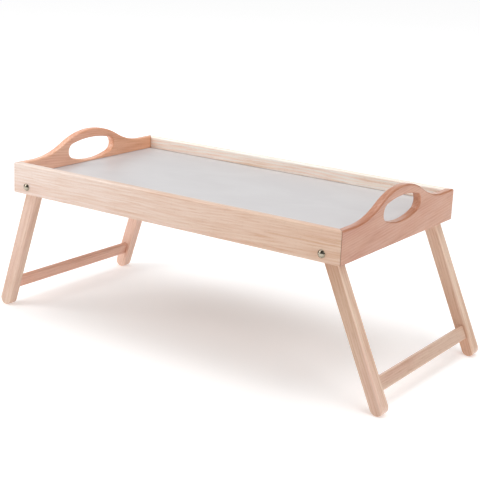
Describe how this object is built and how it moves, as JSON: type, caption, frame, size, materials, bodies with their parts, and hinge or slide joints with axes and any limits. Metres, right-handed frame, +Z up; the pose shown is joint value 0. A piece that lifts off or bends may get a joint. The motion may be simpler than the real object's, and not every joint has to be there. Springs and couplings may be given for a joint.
{
  "type": "folding tray table",
  "caption": "Wooden bed tray with raised handle ends and a pale board, standing on folding leg frames that lie flat underneath.",
  "frame": {"origin": "on the floor under the middle of the whole table's footprint, opened legs included", "axes": "+X along the tray from its left end to its right end, +Y from the front rail to the back rail, +Z up"},
  "size_m": [0.636, 0.306, 0.2507],
  "materials": {
    "rail_wood": "satin lacquered pale hardwood",
    "panel_wood": "satin lacquered pinkish hardwood",
    "leg_wood": "satin lacquered pale hardwood",
    "board_face": "satin grey-white melamine",
    "nickel": "polished nickel plate",
    "spacer_nylon": "natural nylon",
    "zinc_steel": "bright zinc plate"
  },
  "bodies": {
    "tray": {"front_rail": "rail_wood", "back_rail": "rail_wood", "left_end_panel": "panel_wood", "right_end_panel": "panel_wood", "tray_board": "board_face", "left_front_bolt": "nickel", "left_back_bolt": "nickel", "right_front_bolt": "nickel", "right_back_bolt": "nickel", "left_front_spacer": "spacer_nylon", "left_back_spacer": "spacer_nylon", "right_front_spacer": "spacer_nylon", "right_back_spacer": "spacer_nylon", "left_front_washer": "zinc_steel", "left_back_washer": "zinc_steel", "right_front_washer": "zinc_steel", "right_back_washer": "zinc_steel", "left_front_nut": "zinc_steel", "left_back_nut": "zinc_steel", "right_front_nut": "zinc_steel", "right_back_nut": "zinc_steel", "left_front_wedge": "zinc_steel", "left_back_wedge": "zinc_steel", "right_front_wedge": "zinc_steel", "right_back_wedge": "zinc_steel"},
    "left_leg_frame": {"left_front_leg": "leg_wood", "left_back_leg": "leg_wood", "left_stretcher": "leg_wood"},
    "right_leg_frame": {"right_front_leg": "leg_wood", "right_back_leg": "leg_wood", "right_stretcher": "leg_wood"}
  },
  "joints": [
    {"name": "left_legs_fold", "type": "hinge", "parent": "tray", "child": "left_leg_frame", "pos_m": [-0.25049, 0, 0.1884], "axis": [0, -1, 0], "range_deg": [0, 108]},
    {"name": "right_legs_fold", "type": "hinge", "parent": "tray", "child": "right_leg_frame", "pos_m": [0.22894, 0, 0.1884], "axis": [0, 1, 0], "range_deg": [0, 114]}
  ]
}
